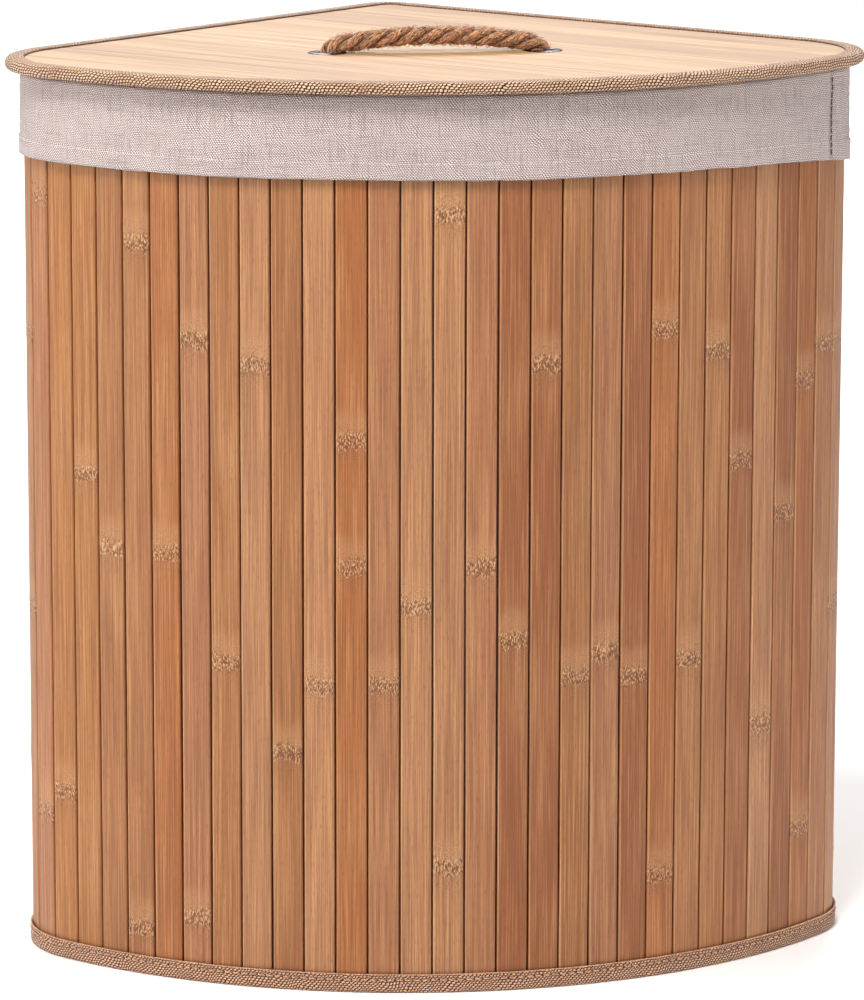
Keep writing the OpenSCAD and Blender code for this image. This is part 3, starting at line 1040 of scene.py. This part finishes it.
def smooth_path(points, step):
    """Evenly spaced points of a Catmull-Rom curve through points."""
    dense = []
    ends = [2 * points[0] - points[1], *points, 2 * points[-1] - points[-2]]
    for a, b, c, d in zip(ends, ends[1:], ends[2:], ends[3:]):
        for k in range(24):
            t = k / 24
            dense.append(
                0.5 * (2 * b + (c - a) * t + (2 * a - 5 * b + 4 * c - d) * t * t
                       + (3 * b - a - 3 * c + d) * t**3)
            )
    dense.append(points[-1].copy())
    lengths = path_lengths(dense)
    count = max(2, round(lengths[-1] / step))
    even, j = [], 0
    for i in range(count + 1):
        want = lengths[-1] * i / count
        while j < len(dense) - 2 and lengths[j + 1] < want:
            j += 1
        span = max(lengths[j + 1] - lengths[j], 1e-9)
        even.append(dense[j].lerp(dense[j + 1], (want - lengths[j]) / span))
    return even


def path_frames(path):
    """Point, direction and two cross directions at each point, carried along without twisting."""
    frames, side = [], Vector((0, 1, 0))
    for i, p in enumerate(path):
        ahead = (path[min(i + 1, len(path) - 1)] - path[max(i - 1, 0)]).normalized()
        side = (side - ahead * side.dot(ahead)).normalized()
        frames.append((p, ahead, side, ahead.cross(side)))
    return frames


def add_strand(store, frames, step, radius, ring, phase, lay, loosen=None, sides=18):
    """One strand laid round the path: a tube with raised yarns, ragged with noise."""
    verts, faces, cloth = store
    start = len(verts)
    centres = []
    for i, (p, _, side, up) in enumerate(frames):
        turn = phase - 2 * math.pi * i * step / lay
        spread = ring * (1 if loosen is None else loosen(i / (len(frames) - 1)))
        centres.append(p + spread * (math.cos(turn) * side + math.sin(turn) * up))
    for i, (p, *_) in enumerate(frames):
        forward = centres[min(i + 1, len(centres) - 1)] - centres[max(i - 1, 0)]
        forward.normalize()
        away = centres[i] - p
        away = (away - forward * away.dot(forward)).normalized()
        over = forward.cross(away)
        s = i * step
        for k in range(sides):
            a = 2 * math.pi * k / sides
            yarn = 0.00022 * math.cos(6 * a + 2 * math.pi * s / 0.014)
            rag = 0.0004 * ripple(math.cos(a) * 2.5 + phase, math.sin(a) * 2.5, s * 520)
            r = radius + yarn + rag
            verts.append(centres[i] + r * (math.cos(a) * away + math.sin(a) * over))
            # the third value is how far out on the strand the point lies; the rope material paints shade from
            # it down between the strands
            cloth.append((s + radius * 1.4 * a, radius * a, 0.5 + 0.5 * math.cos(a)))
    faces.extend(tube_faces(start, len(frames), sides))


def add_hairs(store, frames, count, reach, rng):
    """Loose fibres that stand off the rope and curl back."""
    verts, faces, cloth = store
    for _ in range(count):
        p, ahead, side, up = frames[rng.randrange(2, len(frames) - 2)]
        a = rng.uniform(0, 2 * math.pi)
        away = math.cos(a) * side + math.sin(a) * up
        over = math.cos(a + 1.57) * side + math.sin(a + 1.57) * up
        along = rng.uniform(-1, 1) * ahead + rng.uniform(-0.8, 0.8) * over
        length = rng.uniform(0.25, 1.0) ** 1.6 * reach
        rise = rng.uniform(0.1, 0.55)
        base = p + away * (ROPE_RADIUS * 0.9)
        path = []
        for k in range(5):
            t = k / 4
            path.append(base + along * length * t + away * length * rise * math.sin(2.4 * t))
        width = rng.uniform(0.00006, 0.00013)
        before = len(verts)
        tube(verts, faces, path, [width, width, width, width * 0.8, width * 0.3], 3)
        cloth.extend([(rng.uniform(0, 1), 0.3, 1.0)] * (len(verts) - before))


def rope_piece(name, node, build):
    """A rope piece from a builder that fills points, faces and yarn coordinates."""
    store = ([], [], [])
    build(store)
    piece = mesh_piece(name, store[0], store[1], "rope_handle", JUTE, [node])
    point_vectors(piece, "cloth", store[2])
    return piece


ROPE_STEP = 0.0008
ROPE_LAY = 0.034
STRAND_RADIUS = 0.00245
STRAND_RING = 0.00262


def rope_route():
    """Points of the rope: up through the left eyelet, a low arch, and down through the right."""
    low = heights("right_knot")[1] - 0.002
    x, y, z = EYELET.x, EYELET.y, LID_HIGH
    right = [(0.0, 0.0080), (0.016, 0.0076), (0.031, 0.0065), (0.044, 0.0050), (0.0525, 0.0038)]
    right += [(0.0580, 0.0012), (0.0598, -0.0045), (x, -0.013)]
    right = [Vector((px, y, z + pz)) for px, pz in right]
    right.append(Vector((x, y, low)))
    left = [Vector((-p.x, p.y, p.z)) for p in reversed(right[1:])]
    return left + right


def make_rope():
    path = smooth_path(rope_route(), ROPE_STEP)
    frames = path_frames(path)
    rng = random.Random(31)

    def build(store):
        for k in range(3):
            phase = 2 * math.pi * k / 3
            add_strand(store, frames, ROPE_STEP, STRAND_RADIUS, STRAND_RING, phase, ROPE_LAY)
        add_hairs(store, frames[20:-20], 3200, 0.0042, rng)

    rope_piece("twisted_rope", "rope", build)
    for side, sign in (("left", -1), ("right", 1)):
        make_knot(side, sign, rng)


def make_knot(side, sign, rng):
    """Stopper knot under the lid: the strands wound round the rope's end, and a frayed tail."""
    x, y = sign * EYELET.x, EYELET.y
    low, high = heights(f"{side}_knot")
    top, bottom = high - 0.0046, low + 0.0155

    def build(store):
        turns, points = 2.2, []
        for i in range(34):
            t = i / 33
            a = 2 * math.pi * turns * t + (0 if sign > 0 else math.pi)
            r = 0.0066 + 0.0008 * math.sin(math.pi * t)
            points.append(Vector((x + r * math.cos(a), y + r * math.sin(a), top + (bottom - top) * t)))
        wrap = path_frames(smooth_path(points, 0.0009))
        for k in range(3):
            add_strand(store, wrap, 0.0009, 0.0018, 0.0017, 2 * math.pi * k / 3, 0.018, None, 12)
        core = [Vector((x, y, high - 0.002)), Vector((x + 0.0004, y, bottom)), Vector((x, y, low))]
        frames = path_frames(smooth_path(core, ROPE_STEP))
        for k in range(3):
            add_strand(store, frames, ROPE_STEP, 0.0021, 0.0022, 2 * math.pi * k / 3, 0.03,
                       lambda t: 1 + 0.9 * max(0.0, t - 0.7) / 0.3)
        add_hairs(store, frames[len(frames) * 2 // 3:], 90, 0.006, rng)

    rope_piece(f"{side}_stopper_knot", f"{side}_knot", build)


# ---------------- carried-over CAD nodes


def dress_nodes():
    """Procedural materials for the CAD nodes whose shape stays."""
    for node, material in (("lid_panel", LID_WOOD), ("rim_hoop", PLAIN_WOOD), ("base_board", PLAIN_WOOD)):
        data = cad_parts[node].data
        data.materials.clear()
        data.materials.append(material)


# ---------------- stage


def make_floor():
    mesh = bpy.data.meshes.new("floor")
    size = 12.0
    corners = [(-size, -size, 0), (size, -size, 0), (size, size, 0), (-size, size, 0)]
    mesh.from_pydata(corners, [], [(0, 1, 2, 3)])
    floor = bpy.data.objects.new("floor", mesh)
    bpy.context.scene.collection.objects.link(floor)
    n = Nodes("pale_floor", 0.7)
    shade = n.noise(n.place(), 2.0)
    n.finish(n.mix(shade, (0.93, 0.93, 0.93, 1), (0.95, 0.95, 0.95, 1)))
    mesh.materials.append(n.material)


def area_light(name, place, target, size, power, colour):
    data = bpy.data.lights.new(name, "AREA")
    data.shape = "DISK"
    data.size = size
    data.energy = power
    data.color = colour
    light = bpy.data.objects.new(name, data)
    light.location = place
    light.rotation_mode = "QUATERNION"
    light.rotation_quaternion = (Vector(target) - Vector(place)).to_track_quat("-Z", "Y")
    bpy.context.scene.collection.objects.link(light)


def make_lights():
    world = bpy.data.worlds.new("studio")
    world.use_nodes = True
    world.node_tree.nodes["Background"].inputs["Color"].default_value = (1.0, 1.0, 1.0, 1.0)
    world.node_tree.nodes["Background"].inputs["Strength"].default_value = 0.24
    bpy.context.scene.world = world
    target = (0, 0, 0.3)
    area_light("key", (-0.5, -1.25, 2.5), target, 0.8, 62, (1.0, 0.98, 0.96))
    area_light("left", (-2.4, -0.7, 1.1), target, 1.0, 28, (1.0, 0.98, 0.95))
    area_light("right", (2.2, -1.4, 1.2), target, 1.4, 21, (1.0, 0.97, 0.95))
    area_light("backdrop", (0.3, 3.0, 2.7), (0.3, 3.0, 0), 2.6, 160, (1.0, 1.0, 1.0))
    bpy.context.scene.view_settings.view_transform = "Standard"


def make_camera():
    """The reference view: a long lens, slightly above the lid and a little to the left."""
    azimuth, elevation, roll = -0.1188, 0.1955, 0.002
    distance, pixels = 3.240, 5675
    target = Vector((0.0045, -0.0004, 0.2362))
    back = Vector(
        (
            math.sin(azimuth) * math.cos(elevation),
            -math.cos(azimuth) * math.cos(elevation),
            math.sin(elevation),
        )
    )
    right = (-back).cross(Vector((0, 0, 1))).normalized()
    up = right.cross(-back)
    turned_right = math.cos(roll) * right + math.sin(roll) * up
    turned_up = -math.sin(roll) * right + math.cos(roll) * up
    data = bpy.data.cameras.new("camera")
    data.sensor_width = 36.0
    data.lens = pixels * data.sensor_width / 1000
    data.clip_end = 60
    camera = bpy.data.objects.new("camera", data)
    place = target + back * distance
    axes = Matrix((turned_right, turned_up, back)).transposed().to_4x4()
    camera.matrix_world = Matrix.Translation(place) @ axes
    bpy.context.scene.collection.objects.link(camera)
    bpy.context.scene.camera = camera


make_camera()
make_slats()
make_base_tape()
make_rim_tape()
make_lid_tape()
make_liner()
make_backing()
make_lid_lining()
make_eyelets()
make_rope()
dress_nodes()
make_floor()
make_lights()
